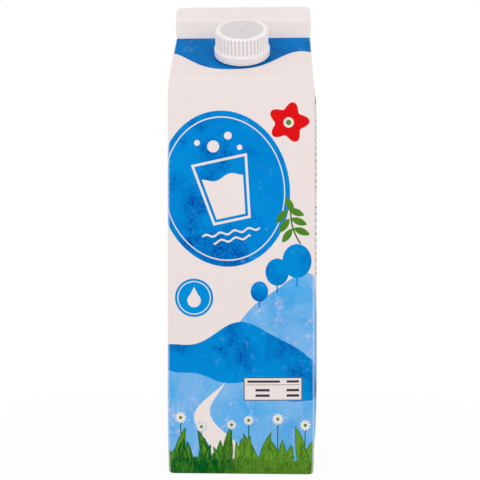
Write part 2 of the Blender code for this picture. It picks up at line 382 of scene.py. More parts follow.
def section_across(fold):
    """The flat board's coordinate along one panel's section, from its left crease, in metres."""
    flat = fold.panel / 2 + flat_columns() * (fold.panel - fold.arc) / 2
    corner = fold.panel - fold.arc / 2 + fold.arc * np.arange(1, CORNER_COLUMNS + 1) / (CORNER_COLUMNS + 1)
    return np.concatenate([flat, corner])


def body_ring(fold, height):
    """The closed outline at each height, and its flat coordinate; its last column meets its first."""
    rings = [quarter_turns(panel_section(fold, height, side), side - FRONT) for side in range(SIDES)]
    points = np.concatenate(rings, 1)
    across = np.concatenate([section_across(fold) + (side - FRONT) * fold.panel for side in range(SIDES)])
    across = np.append(across, across[0] + SIDES * fold.panel)
    return np.concatenate([points, points[:, :1]], 1), across


def body_heights(form):
    """Row heights: round the base's fold in an arc, then up to the shoulder, closer at both ends."""
    arc = form.base_crease * (1 - np.cos(np.linspace(0.0, np.pi / 2, 7)[:-1]))
    rest = form.base_crease + (form.shoulder_height - form.base_crease) * eased(BODY_ROWS, 0.75)
    return np.concatenate([arc, rest])


def from_mid_crease(fold, points, across, side):
    """A side's stretch of the shoulder ring, from the middle of one crease to the middle of the next,
    in the front panel's place."""
    count = (len(points) - 1) // SIDES
    index = np.arange(side * count - HALF_CORNER, (side + 1) * count - HALF_CORNER + 1) % (SIDES * count)
    around = SIDES * fold.panel
    centre = (side - FRONT + 0.5) * fold.panel
    across = across[index]
    return quarter_turns(points[index], FRONT - side), across + np.round((centre - across) / around) * around


def add_gable_slope(patches, fold, lower, across, side):
    """A roof panel with its half of the fin: straight from the shoulder to the fold, then up the fin.

    The fin's face stands half its thickness out, steps in where two of its four layers end, and draws
    in at its rounded corners."""
    places = lower[:, 0] / np.abs(lower[:, 0]).max()
    lift = np.zeros(len(places))
    if side == BACK:
        lift[HALF_CORNER:-HALF_CORNER] = seam_profile(fold.form)
    share = fold.slope_share
    slope = lerp(lower, points_of(places * fold.fold_half, -fold.thick - lift, fold.fold_height), share)
    uneven = wander(slope[..., 0] / MM * 1.7, share[:, None] * 60, side + 5) * fold.form.unevenness
    hump = uneven * np.sin(np.pi * share)[:, None] * np.cos(np.pi / 2 * places)
    slope[..., 1] -= hump * math.sin(fold.slope)
    slope[..., 2] += hump * math.cos(fold.slope)
    up = fold.form.shoulder_height + share[:, None] * fold.roof_length
    patches.add(quarter_turns(slope, side - FRONT), across, up)

    height, half_thick, half_length = fin_rows(fold)
    fin = points_of(places * half_length, -half_thick * (1 + lift / fold.thick), fold.fold_height + height)
    fin = quarter_turns(fin, side - FRONT)
    patches.add(fin, across, up[-1] + height)
    return fin


def fin_rows(fold):
    """Height above the fold, half thickness and half length of each row of the fin."""
    form = fold.form
    step = form.four_layers + form.fin_step * np.array([0.08, 0.25, 0.5, 0.75, 0.92, 1.0])
    corner_foot = fold.fin_height - form.fin_corner
    above = np.linspace(step[-1], corner_foot, 5)[1:-1]
    turn = np.linspace(0.0, np.pi / 2, 12)
    corner = corner_foot + form.fin_corner * np.sin(turn)
    height = np.concatenate([form.four_layers * eased(12, 0.9), step, above, corner])
    half_thick = fold.thick + (fold.thin - fold.thick) * smooth((height - form.four_layers) / form.fin_step)
    half_length = form.half_side - form.fold_pinch * np.clip(1 - height / form.pinch_rise, 0.0, 1.0) ** 1.5
    half_length[-len(turn) :] -= form.fin_corner * (1 - np.cos(turn))
    return np.stack([height, half_thick, half_length])[..., None]


def add_fin_edge(patches, fold, front, back):
    """The strip round the fin's ends and top, from its front face across to its back face.

    Across it there are two low humps, one for each panel, with a groove between them. They are folds
    where the fin has four layers and cut edges above."""
    near, far = [
        np.concatenate([grid[:, -1], grid[-1, -2::-1], grid[-2::-1, 0]]) for grid in (front, back[:, ::-1])
    ]
    cross = np.linspace(0.0, 1.0, FIN_EDGE_ROWS)
    along = np.gradient(near, axis=0)
    out = points_of(along[:, 2], 0.0, -along[:, 0])
    out /= np.maximum(np.linalg.norm(out, axis=1, keepdims=True), 1e-9)
    rise = near[:, 2] - fold.fold_height
    folded = np.clip((fold.form.four_layers + fold.form.fin_step - rise) / fold.form.fin_step, 0.0, 1.0)
    hump = np.abs(np.sin(2 * np.pi * cross))[:, None] ** 0.5
    hump = hump * (CUT_EDGE_HUMP + (FOLDED_EDGE_HUMP - CUT_EDGE_HUMP) * folded)
    strip = lerp(near, far, cross) + out * hump[..., None]
    first, last = np.flatnonzero(folded <= 0.5)[[0, -1]]
    for end in (slice(0, first + 1), slice(last, None)):
        patches.add(strip[:, end], fold.panel, FIN_END_ROW * MM)
    cut = slice(first, last + 1)
    across_edge = (cross[:, None] - 0.5) * np.linalg.norm(far - near, axis=1)
    patches.add(strip[:, cut], running_length(near)[cut], RAW_EDGE_ROW * MM + across_edge[:, cut])
    return strip


def add_gable_end(patches, fold, lower, across, fin_edge, side):
    """A gable end: the side panel leans in to a point, and its gussets lie against the roof panels.

    The side panel and the gussets are flat triangles. The folded edges between a gusset and its roof
    panel are strips from the shoulder's crease up to a half round at the fin."""
    turns = side - FRONT
    share = fold.slope_share
    left = (1 - share)[:, None]
    up = fold.form.shoulder_height + share[:, None] * fold.roof_length
    apex = np.array([0.0, -fold.inset, fold.ceiling])
    end = np.array([0.0, -fold.fold_half, fold.ceiling])
    from_centre = across[HALF_CORNER:-HALF_CORNER]
    centre = from_centre.mean()
    leaning = lerp(lower[HALF_CORNER:-HALF_CORNER], apex, share)
    leaning[..., 2] -= GABLE_HOLLOW * np.sin(np.pi * share)[:, None] * (1 - flat_columns() ** 2) * left
    patches.add(quarter_turns(leaning, turns), centre + (from_centre - centre) * left, up)

    far = lerp(end, apex, np.linspace(0.0, 1.0, GUSSET_COLUMNS))
    turn = np.linspace(0.0, np.pi, HALF_CORNER + 1)
    tops = []
    for mirror in (1, -1):
        low = lower[::mirror][: HALF_CORNER + 1]
        low_across = across[::mirror][: HALF_CORNER + 1]
        patches.add(quarter_turns(lerp(low[-1], far, share), turns), low_across[-1], up)
        outer = np.array([-mirror * fold.thick, -fold.fold_half, fold.fold_height])
        top = lerp(outer, end, 0.5 - 0.5 * np.cos(turn))
        top[:, 1] -= FOLD_ROUND * np.sin(turn)
        patches.add(quarter_turns(lerp(low, top, share), turns), low_across, up)
        tops.append(top)
    loop = np.concatenate([tops[0], tops[1][-2::-1], fin_edge[1:]])
    hub = np.broadcast_to(loop.mean(0), loop.shape)
    patches.add(quarter_turns(np.stack([loop, hub]), turns), centre, up[-1])


def add_base(patches, fold, ring, across):
    """The base: a flat rim, a step up into a shallow recess, and its floor drawn to one point."""
    rim = fold.form.recess_half / np.abs(ring[:, 0]).max()
    step, foot, floor = rim - np.array(RECESS_STEP)
    scale = np.concatenate([np.linspace(1.0, rim, 5), [step, foot], np.linspace(floor, 0.0, 8)])
    points = ring * scale[:, None, None]
    points[..., 2] = fold.form.recess_depth * (scale < rim)[:, None]
    patches.add(points, across, BASE_ROW * MM)


def make_folded_board(form, material):
    """The whole board, folded and shut, as one closed surface."""
    fold = Fold(form)
    patches = Patchwork()
    heights = body_heights(form)
    points, across = body_ring(fold, heights)
    patches.add(points, across, heights[:, None])
    add_base(patches, fold, points[0], across)
    shoulder = [from_mid_crease(fold, points[-1], across, side) for side in range(SIDES)]
    fins = [add_gable_slope(patches, fold, *shoulder[side], side) for side in (FRONT, BACK)]
    strip = add_fin_edge(patches, fold, *fins)
    for side, fin_edge in ((RIGHT, strip[::-1, 0]), (LEFT, strip[:, -1])):
        add_gable_end(patches, fold, *shoulder[side], quarter_turns(fin_edge, FRONT - side), side)
    return patches.make("folded_board", material)


# The screw cap


FOOT_ROUND = 0.45 * MM
BAND_LINE = 1.7 * MM
BAND_LINE_HALF = 0.2 * MM
BAND_LINE_DEPTH = 0.2 * MM
SLIT_LOW = 3.5 * MM
SLIT_HIGH = 3.9 * MM
SLIT_DEPTH = 0.22 * MM
SLIT_ARC = math.radians(30)
SLIT_END = math.radians(7)
COLLAR_FOOT = SLIT_HIGH + 0.2 * MM
COLLAR_RISE = 1.2 * MM
RIB_EASE = 0.6 * MM
RIM_DROP = 0.6 * MM
RIBS_OVER_RIM = 0.35
DISC_SINK = 0.2 * MM
DISC_CROWN = 0.05 * MM
GATE_RADIUS = 0.75 * MM
GATE_HEIGHT = 0.5 * MM
GROOVE_POWER = 1.6
COLUMNS_PER_RIB = 10


def cap_profile(form):
    """Rows of the cap from its foot to its crown: radius, height, share of the ribs, share of the slits.

    A rounded foot, the band, the slit, a collar that eases in to the ribs, a rounded rim with an
    elliptical section, and a sunk disc with the gate's pip in the middle. Also gives the rows at which
    the ribs begin and end, and the disc, the ring round the pip and the pip begin."""
    band, rib, disc = form.band_radius, form.rib_radius, form.disc_radius
    rows = []
    for turn in np.linspace(0.0, np.pi / 2, 6):
        inwards, up = FOOT_ROUND * (1 - np.sin(turn)), FOOT_ROUND * (1 - np.cos(turn))
        rows.append((band - inwards, form.foot + up, 0, 0))
    for turn in np.linspace(0.0, np.pi, 7):
        rows.append((band - BAND_LINE_DEPTH * np.sin(turn), BAND_LINE - BAND_LINE_HALF * np.cos(turn), 0, 0))
    for inwards, height, slit in (
        (0.0, 2.4 * MM, 0),
        (0.0, SLIT_LOW - 0.15 * MM, 0),
        (0.03, SLIT_LOW - 0.02 * MM, 0),
        (0.08, SLIT_LOW, 1),
        (0.08, SLIT_HIGH, 1),
        (0.03, SLIT_HIGH + 0.02 * MM, 0),
    ):
        rows.append((band - inwards * MM, height, 0, slit))
    for share in np.linspace(0.0, 1.0, 9):
        rows.append((band + (rib - band) * smooth(share), COLLAR_FOOT + COLLAR_RISE * share, 0, 0))
    marks = [len(rows)]
    ribs_foot = COLLAR_FOOT + COLLAR_RISE
    for share in np.linspace(0.2, 1.0, 5):
        rows.append((rib, ribs_foot + RIB_EASE * share, math.sin(math.pi / 2 * share), 0))
    for height in np.linspace(ribs_foot + 2 * RIB_EASE, form.top - RIM_DROP, 5)[:-1]:
        rows.append((rib, height, 1, 0))
    for share in np.linspace(0.0, 1.0, 17):
        turn = np.pi / 2 * share
        ribbed = max(1 - share / RIBS_OVER_RIM, 0.0) ** 0.5
        rows.append((disc + (rib - disc) * np.cos(turn), form.top - RIM_DROP * (1 - np.sin(turn)), ribbed, 0))
        if share < RIBS_OVER_RIM:
            ribs_end = len(rows)
    marks += [ribs_end, len(rows), len(rows) + 4, len(rows) + 7]
    for radius, height in (
        (disc - 0.12 * MM, DISC_SINK - 0.04 * MM),
        (disc - 0.28 * MM, 0.03 * MM),
        (disc - 0.5 * MM, 0.0),
        (disc * 0.6, DISC_CROWN),
        (1.9 * GATE_RADIUS, DISC_CROWN),
        (1.7 * GATE_RADIUS, 0.0),
        (GATE_RADIUS, 0.0),
        (0.8 * GATE_RADIUS, 0.8 * GATE_HEIGHT),
        (0.4 * GATE_RADIUS, GATE_HEIGHT),
    ):
        rows.append((radius, form.top - DISC_SINK + height, 0, 0))
    return np.array(rows, float), marks


def make_cap(form, board, material):
    """The cap, turned: each row's radius less the ribs' grooves and the slits, then set on the roof.

    A groove's depth round the cap is the sine of half the rib angle, to a power that keeps the ridges
    narrow, and a slit has soft ends."""
    rows, _ = cap_profile(form)
    along = np.pad(running_length(rows[:, :2]), 1, mode="edge")
    radius, height, ribbed, slitted = rows.T[..., None]
    turn = np.linspace(0.0, 2 * np.pi, form.ribs * COLUMNS_PER_RIB + 1)
    groove = np.abs(np.sin(turn * form.ribs / 2)) ** GROOVE_POWER
    part = 2 * np.pi / form.slits
    from_slit = np.abs((turn + part / 2) % part - part / 2)
    in_slit = np.clip((SLIT_ARC / 2 - from_slit) / SLIT_END, 0.0, 1.0) ** 0.5
    radius = radius - form.rib_depth * ribbed * groove - SLIT_DEPTH * slitted * in_slit
    radius = np.pad(radius, ((1, 1), (0, 0)))
    height = np.concatenate([[[form.foot]], height, height[-1:]])
    points = on_the_roof(Fold(board), form, radius * np.sin(turn), -radius * np.cos(turn), height)
    patches = Patchwork()
    patches.add(points, turn * form.band_radius, along[:, None])
    return patches.make("ribbed_cap", material)


def on_the_roof(fold, form, side, down, height):
    """Points given across, down the slope and up along the cap's axis, set at the cap's place."""
    sine, cosine = math.sin(fold.slope), math.cos(fold.slope)
    along = form.up_slope + down
    y = -fold.form.half_side + along * cosine - height * sine
    z = fold.form.shoulder_height + along * sine + height * cosine
    return points_of(side, y, z)


# Materials, written as sums


def set_inputs(node, inputs):
    """Sets a node's inputs, by name or place: each to a value, a plain colour, or what is linked in."""
    for place, value in inputs.items():
        socket = node.inputs[place]
        value = getattr(value, "socket", value)
        if isinstance(value, bpy.types.NodeSocket):
            node.id_data.links.new(value, socket)
        elif socket.type == "RGBA":
            socket.default_value = (*value, 1.0)
        else:
            socket.default_value = value


def new_node(tree, kind, inputs, **settings):
    """A new shader node with its settings and inputs."""
    node = tree.nodes.new("ShaderNode" + kind)
    for name, value in settings.items():
        setattr(node, name, value)
    set_inputs(node, inputs)
    return node


def sign(operation):
    """A method that adds the Math node of that name."""
    return lambda number, *others: number.sum_of(operation, *others)


class Output:
    """An output of a node."""

    def __init__(self, socket):
        self.socket = socket
        self.tree = socket.id_data


class Number(Output):
    """A number that varies over a surface, and takes the usual signs. Each sign adds a Math node."""

    def sum_of(self, operation, *others, clamp=False):
        inputs = dict(enumerate((self, *others)))
        return Number(new_node(self.tree, "Math", inputs, operation=operation, use_clamp=clamp).outputs[0])

    __add__ = sign("ADD")
    __sub__ = sign("SUBTRACT")
    __mul__ = sign("MULTIPLY")
    __truediv__ = sign("DIVIDE")
    __abs__ = sign("ABSOLUTE")
    least = sign("MINIMUM")
    most = sign("MAXIMUM")
    power = sign("POWER")
    floor = sign("FLOOR")
    sine = sign("SINE")
    arctan2 = sign("ARCTAN2")

    def __neg__(self):
        return self * -1.0

    def wrapped(self, half):
        """Wrapped into the range from minus half to half."""
        return self.sum_of("WRAP", half, -half)

    def inside(self, soft=0.14):
        """1 where a signed distance is below 0 and 0 outside, with an edge as soft as that many mm."""
        return self.sum_of("MULTIPLY_ADD", -1.0 / soft, 0.5, clamp=True)

    def rise(self, low, high):
        """0 below low, 1 above high and smooth between them."""
        inputs = {"Value": self, "From Min": low, "From Max": high}
        node = new_node(self.tree, "MapRange", inputs, interpolation_type="SMOOTHSTEP")
        return Number(node.outputs["Result"])


class Place(Output):
    """A place on the board or in space, in millimetres."""

    def vector_sum(self, operation, value):
        return Place(new_node(self.tree, "VectorMath", {0: self, 1: value}, operation=operation).outputs[0])

    def moved(self, x, y):
        return self.vector_sum("SUBTRACT", (x, y, 0.0))

    def scaled(self, x, y, z=1.0):
        return self.vector_sum("MULTIPLY", (x, y, z))

    def turned(self, degrees):
        inputs = {"Vector": self, "Angle": math.radians(degrees)}
        return Place(new_node(self.tree, "VectorRotate", inputs, rotation_type="Z_AXIS").outputs[0])

    def span(self):
        return Number(new_node(self.tree, "VectorMath", {0: self}, operation="LENGTH").outputs["Value"])

    def split(self):
        return [Number(output) for output in new_node(self.tree, "SeparateXYZ", {0: self}).outputs]

    def noise(self, size, detail=3.0, roughness=0.5, distortion=0.0, seed=0.0):
        """Smooth noise from 0 to 1 whose largest blotches are about that many mm across."""
        inputs = {"Vector": self, "W": seed, "Scale": 1.0 / size}
        inputs |= {"Detail": detail, "Roughness": roughness, "Distortion": distortion}
        return Number(new_node(self.tree, "TexNoise", inputs, noise_dimensions="4D").outputs["Fac"])


def joined(x, y):
    """Two numbers as a place."""
    return Place(new_node(x.tree, "CombineXYZ", {0: x, 1: y}).outputs[0])


def chance(number, seed):
    """Three random numbers from 0 to 1 for each whole number."""
    node = new_node(number.tree, "TexWhiteNoise", {"W": number + seed}, noise_dimensions="1D")
    return Place(node.outputs["Color"]).split()


class Sheet:
    """A surface's colour, with inks laid on it one after another."""

    def __init__(self, tree, base):
        self.tree = tree
        self.top = self.blend(0.0, base, base)

    def blend(self, share, low, high):
        """A mix of two colours, each a plain colour or a socket."""
        return new_node(self.tree, "Mix", {0: share, 6: low, 7: high}, data_type="RGBA").outputs[2]

    def lay(self, share, ink):
        """Lays an ink down where share is 1."""
        self.top = self.blend(share, self.top, ink)

    def fill(self, shape, ink):
        """Lays an ink down where a signed distance is below 0."""
        self.lay(shape.inside(), ink)


def toned(colour, share):
    """A colour made darker or lighter."""
    return tuple(share * level for level in colour)


def new_material(name, roughness):
    """An empty procedural material: its tree, its shader and the object's coordinates in mm."""
    material = bpy.data.materials.new(name)
    material.use_nodes = True
    tree = material.node_tree
    shader = tree.nodes["Principled BSDF"]
    shader.inputs["Roughness"].default_value = roughness
    place = Place(new_node(tree, "TexCoord", {}).outputs["Object"]).scaled(1000.0, 1000.0, 1000.0)
    return material, tree, shader, place


def flat_place(tree):
    """The piece's own flat coordinates, in mm."""
    return Place(new_node(tree, "UVMap", {}, uv_map="flat_board").outputs["UV"]).scaled(1000.0, 1000.0)


def add_bump(shader, height, distance):
    """Fine relief from a height between 0 and 1, over a distance in metres."""
    inputs = {"Strength": 1.0, "Distance": distance, "Height": height}
    set_inputs(shader, {"Normal": new_node(shader.id_data, "Bump", inputs).outputs["Normal"]})


def finish_plastic(shader, place, sheet):
    """The rest of the white plastic: a satin sheen, a little light inside it and a fine mould texture."""
    set_inputs(
        shader,
        {
            "Base Color": sheet.top,
            "Specular IOR Level": 0.3,
            "Subsurface Weight": 0.15,
            "Subsurface Radius": (1.0, 0.9, 0.85),
            "Subsurface Scale": 0.0012,
        },
    )
    add_bump(shader, place.noise(0.5, detail=2.0, seed=5.0), 0.00003)


def neck_material(look):
    """White moulded plastic with faint cloudiness."""
    material, tree, shader, place = new_material("neck_plastic", 0.38)
    sheet = Sheet(tree, look.plastic)
    sheet.lay(place.noise(5.0, seed=2.0).rise(0.35, 0.75), look.disc_grey)
    finish_plastic(shader, place, sheet)
    return material


def cap_material(look):
    """White moulded plastic with faint cloudiness: a painted highlight on the ribs, painted shade deep
    between them, and greyer on the matt disc."""
    material, tree, shader, place = new_material("cap_plastic", 0.38)
    rows, marks = cap_profile(look)
    ribs_start, ribs_end, disc_start, ring_start, pip_start = running_length(rows[:, :2])[marks] / MM
    around, along, _ = flat_place(tree).split()
    groove_shade_share = abs((around * (look.ribs / (2 * look.band_radius / MM))).sine()).power(GROOVE_POWER)
    ribbed = (abs(along - (ribs_start + ribs_end) / 2) - (ribs_end - ribs_start) / 2).inside(0.7)
    sheet = Sheet(tree, look.plastic)
    sheet.lay(place.noise(5.0, seed=2.0).rise(0.4, 0.8) * 0.25, look.disc_grey)
    # Painted light: the ridges are painted lighter and the grooves darker, standing in for the shade between
    # the ribs.
    sheet.lay(ribbed, sheet.blend(groove_shade_share, look.rib_painted_highlight, look.groove_painted_shade))
    sheet.lay((-along + disc_start).inside(1.2), look.disc_grey)
    sheet.lay((-along + ring_start).inside(0.3), toned(look.disc_grey, 0.9))
    sheet.lay((-along + pip_start).inside(0.3), look.plastic)
    finish_plastic(shader, place, sheet)
    return material


# The print, drawn on the flat board


TWO_LAYERS_UP = 9.5
SIDE_PITCH = 3.3
SIDE_CELL = 4.6
FRAME_BARS = ((-4.5, 3.6, 7.8, 0.55), (-5.0, -0.6, 3.4, 0.6), (-5.0, -3.2, 3.4, 0.6))
LEAF_ROWS = (
    (12, 0.0, 5.0, 20.0),
    (14, 4.0, 4.0, 18.0),
    (15, 1.5, 3.0, 16.5),
    (17, 5.5, 2.0, 15.0),
    (19, 2.5, 1.0, 13.0),
)


class Paint:
    """The unevenness of the painted fields, each a number from 0 to 1 over the flat board.

    A broad wash, pale blooms with hard rims, streaks and fine blades that run upwards, fine specks,
    flecks in the blooms, and pooled paint: broad patches full of specks."""

    def __init__(self, flat, sheet, look):
        self.sheet, self.look = sheet, look
        tall, narrow = flat.scaled(1.0, 0.4), flat.scaled(1.0, 0.25)
        self.wash = flat.noise(17.0, detail=5.0, roughness=0.6, distortion=0.5, seed=1.0).rise(0.3, 0.72)
        self.bloom = flat.noise(11.0, detail=6.0, roughness=0.7, distortion=1.4, seed=21.0).rise(0.54, 0.62)
        self.streak = tall.noise(5.0, detail=6.0, roughness=0.72, distortion=1.0, seed=3.0).rise(0.52, 0.66)
        self.blade = narrow.noise(1.7, roughness=0.7, distortion=0.6, seed=44.0).rise(0.46, 0.62)
        self.speck = flat.noise(1.3, roughness=0.8, seed=12.0).rise(0.43, 0.6)
        self.fleck = flat.noise(1.8, roughness=0.7, seed=33.0).rise(0.54, 0.62) * self.bloom
        pool = flat.noise(22.0, roughness=0.55, distortion=0.5, seed=11.0).rise(0.46, 0.68)
        self.pooled = pool * (self.speck * 0.75 + 0.4)

    def over(self, base, *layers):
        """A colour with others over it, each where its number is 1."""
        for share, ink in layers:
            base = self.sheet.blend(share, base, ink)
        return base

    def blue(self, base):
        """A strong blue with lighter washes, darker pooled paint and pale flecks."""
        look = self.look
        washed, pooled = (self.wash * 0.3, look.azure), (self.pooled, look.deep_blue)
        return self.over(base, washed, pooled, (self.fleck * 0.35, look.hill_light))

    def pale(self, base, other):
        """A light blue that runs into another, with lilac blooms and streaks, and white flecks."""
        look = self.look
        lilac = ((self.streak * 0.6, look.lilac), (self.bloom * 0.7, look.lilac))
        pooled, flecks = (self.pooled * 0.3, look.hill_mid), (self.fleck * 0.5, look.board)
        return self.over(base, (self.wash, other), *lilac, pooled, flecks)


def bar(across, above, x, y, half_width, half_height):
    """How far a place is outside a bar: the greater of how far it is past its ends and its long edges."""
    return (abs(across - x) - half_width).most(abs(above - y) - half_height)


def hill(x, up, level, waves, panel):
    """How far a place is above a hill line: a level plus sine waves that meet round the carton.

    Each wave is its height, how many times it goes round half the carton, and where it starts."""
    above = up - level
    for height, times, start in waves:
        above = above - (x * (math.pi * times / panel) + start).sine() * height
    return above


def lay_hills(sheet, x, up, panel, look, paint):
    """Three hills behind one another, each in its own blue, and a white stream that winds down the
    nearest one and widens towards the meadow."""
    far = hill(x, up, 72.0, ((20.0, 1, 0.35), (5.0, 2, -1.2), (1.6, 5, 0.5)), panel)
    middle = hill(x, up, 59.0, ((13.0, 1, 1.9), (4.0, 2, 0.4), (1.8, 4, 2.0)), panel)
    near = hill(x, up, 47.0, ((10.0, 1, -2.6), (4.0, 2, 1.0), (1.4, 5, 0.0)), panel)
    sheet.fill(far, paint.pale(look.hill_light, look.hill_near))
    sheet.fill(middle, paint.blue(look.hill_mid))
    sheet.fill(near, paint.pale(look.hill_near, look.hill_light))
    bends = (up * 0.15 + 0.3).sine() * 6.5 - 12.0
    sheet.fill((abs(x - bends) + up * 0.24 - 10.9).most(near), look.board)


def lay_trees(sheet, place, look, paint):
    """Round trees in mid blue on the far hill: each a crown on a thin trunk."""
    blue = paint.blue(look.hill_mid)
    for x, foot, size in ((9.0, 82.0, 4.2), (17.5, 89.0, 5.6), (27.0, 92.0, 7.0)):
        across, above, _ = place.moved(x, foot).split()
        crown = place.moved(x, foot + 1.7 * size).scaled(1.0, 0.85).span() - size
        sheet.fill(crown.least(bar(across, above, 0.0, size * 0.5, 0.35, size * 0.6)), blue)


def lay_daisies(sheet, x, up, panel, look):
    """White daisies on thin stems, one in each cell: a ring of ten petals round a green eye."""
    cell = 2 * panel / 12
    number = (x / cell).floor()
    first, second, third = chance(number, 91.0)
    across = x - (number + 0.5) * cell - (first - 0.5) * (0.5 * cell)
    above = up - (second * 6.0 + 23.0)
    span = joined(across, above).span()
    petals = span - (above.arctan2(across) * 10.0).sine() * 0.4 - (third * 0.6 + 1.9)
    sheet.fill((abs(across) - 0.24).most(above), look.meadow_left)
    sheet.fill(petals - 0.35, look.hill_light)
    sheet.fill(petals, look.board)
    sheet.fill(span - 0.8, look.meadow_right)


def lay_leaf_row(sheet, x, up, panel, seed, row, tones):
    """Lays a row of leaves, one in each cell and each in its own shade, with a dark rim and a midrib.

    A row is its number of cells, its shift, its foot and its height. A leaf's middle line bends with the
    square of the height. Its half width is the square root of the share of its height, times what is
    left to the tip, so it is widest at a third."""
    cells, shift, foot, tall = row
    cell = 2 * panel / cells
    moved = x + shift
    number = (moved / cell).floor()
    first, second, third = chance(number, seed)
    shade = chance(number, seed + 100.0)[0]
    share = (up - foot) / (first * (0.4 * tall) + 0.6 * tall)
    within = share.most(0.0).least(1.0)
    middle = (second - 0.5) * (0.24 * cell) + (third - 0.5) * within * within * (0.7 * cell)
    from_middle = abs(moved - (number + 0.5) * cell - middle)
    above_tip = (share - 1.0) * tall
    leaf = (from_middle - within.power(0.5) * (-within + 1.0) * (0.5 * cell)).most(above_tip)
    dark, mottled, fresh, vein = tones
    sheet.lay((leaf - 0.35).inside(0.3), dark)
    sheet.fill(leaf, sheet.blend(shade, mottled, fresh))
    sheet.lay((from_middle - 0.17).most(above_tip + 3.0).most(leaf).inside() * 0.6, vein)


def lay_meadow(sheet, x, up, panel, look, paint):
    """Rows of broad leaves over mottled green ground, deep green on one side and yellow-green on the
    other, with daisies behind them."""
    side_to_side = (x * (math.pi / panel) + 0.4 + (paint.wash - 0.5) * 0.5).sine().rise(-0.35, 0.6)
    green = sheet.blend(side_to_side, look.meadow_left, look.meadow_right)
    dark = toned(look.meadow_left, 0.45)
    rim = sheet.blend(paint.speck * 0.5 + 0.3, green, dark)
    mottled = sheet.blend(paint.speck * 0.55, green, dark)
    mottled = sheet.blend(paint.blade * 0.5, mottled, look.leaf)
    fresh = sheet.blend(side_to_side, look.leaf, toned(look.meadow_right, 1.3))
    fresh = sheet.blend(paint.speck * 0.3, fresh, green)
    lay_daisies(sheet, x, up, panel, look)
    tones = (rim, mottled, fresh, toned(look.leaf, 1.5))
    for index, row in enumerate(LEAF_ROWS):
        lay_leaf_row(sheet, x, up, panel, 11.0 + 13.0 * index, row, tones)
    ground = hill(x, up, 7.0, ((1.2, 1, 2.0), (0.7, 5, 0.7)), panel)
    sheet.lay(ground.inside(1.0), mottled)


def lay_oval(sheet, place, look, paint):
    """The large blue oval with a fine white line inside its edge, and paint pooled towards its foot."""
    middle = place.moved(-8.0, 139.0).turned(-9.0)
    edge = (middle.scaled(1 / 31.5, 1 / 38.0).span() - 1.0) * 31.5
    sheet.fill(edge, paint.blue(look.label_blue))
    sheet.fill(abs(edge + 2.6) - 0.25, look.board)
    return middle


def lay_glass(sheet, middle, look):
    """A tumbler of milk in white on the oval: its wall, the milk up to a waved top, drops above it and
    two waved lines under it."""
    across, above, _ = middle.moved(0.5, -1.0).turned(-3.0).split()
    wall = (abs(across) - above * 0.15 - 11.5).most(abs(above) - 15.5)
    milk = (wall + 2.5).most(above - (across * 0.42).sine() * 1.1 - 6.5)
    sheet.fill((abs(wall + 0.6) - 0.6).least(milk), look.board)
    for x, y, size in ((-2.0, 21.0, 2.9), (5.8, 25.0, 1.9), (-9.5, 24.0, 1.4), (10.5, 18.5, 1.3)):
        sheet.fill(middle.moved(x, y).span() - size, look.board)
    across, above, _ = middle.split()
    for level, half_length in ((-21.5, 14.0), (-25.0, 9.0)):
        waved = above - (across * 0.9).sine() * 0.7
        sheet.fill(bar(across, waved, 0.0, level, half_length, 0.5), look.board)


def lay_blossom(sheet, place, look, paint):
    """A red blossom: a circle whose radius swells and shrinks five times round, with a pale eye."""
    flower = place.moved(23.0, 171.0).turned(14.0)
    across, above, _ = flower.split()
    span = flower.span()
    angle = above.arctan2(across)
    petals = span - (angle * 5.0).sine() * 1.7 - 8.3
    between = abs((angle * 2.5 + math.pi / 4).sine()) * span - 0.4
    dark = toned(look.red, 0.5)
    sheet.fill(petals, sheet.blend(paint.speck * 0.25, look.red, dark))
    sheet.fill(between.most(petals + 1.0).most(-span + 3.4), dark)
    sheet.fill(span - 2.5, look.board)
    sheet.fill(span - 1.3, look.meadow_right)


def leaf_shape(place, x, y, turn, long, wide):
    """How far a place is outside a pointed leaf: two circles that cross at its ends."""
    across, above, _ = place.moved(x, y).turned(turn).split()
    radius = (long * long + wide * wide) / (2 * wide)
    return joined(abs(across) + (radius - wide), above).span() - radius


def lay_sprig(sheet, place, look, paint):
    """A green sprig: a bent stem with three pairs of leaves and one at its tip."""
    local = place.moved(25.0, 120.0).turned(-16.0)
    across, above, _ = local.split()
    sheet.fill(bar(across - above * above * 0.02, above, 0.0, 0.0, 0.35, 8.5), look.meadow_left)
    shapes = leaf_shape(local, 1.6, 11.0, -8.0, 4.0, 1.7)
    for height in (-4.5, 0.5, 5.2):
        for side in (-1.0, 1.0):
            shapes = shapes.least(leaf_shape(local, side * 3.6, height + 1.6, -side * 52.0, 4.2, 1.7))
    sheet.fill(shapes, sheet.blend(paint.wash * 0.5, look.leaf, look.meadow_left))


def lay_drop_disc(sheet, place, look, paint):
    """A small blue disc with a white ring and a white drop."""
    local = place.moved(-22.5, 86.0)
    span = local.span()
    sheet.fill(span - 9.3, sheet.blend(paint.wash * 0.5, look.hill_mid, look.azure))
    sheet.fill(abs(span - 7.9) - 0.25, look.board)
    across, above, _ = local.split()
    point = (abs(across) + above * 0.52 - 2.75).most(-above - 0.4)
    sheet.fill((local.moved(0.0, -1.3).span() - 3.3).least(point), look.board)


def lay_ruled_frame(sheet, place, look):
    """A ruled frame with a rule under its first row and plain bars in two columns."""
    across, above, _ = place.moved(15.5, 42.0).split()
    outer = bar(across, above, 0.0, 0.0, 14.0, 5.6)
    sheet.fill(outer, look.board)
    sheet.fill(abs(outer + 0.2) - 0.2, look.ink)
    sheet.fill(bar(across, above, 0.0, 2.0, 12.8, 0.12), look.ink)
    for x, y, half_width, half_height in FRAME_BARS:
        sheet.fill(bar(across, above, x, y, half_width, half_height), look.ink)
        sheet.fill(bar(across, above, 9.5, y, 3.0, half_height), look.ink)


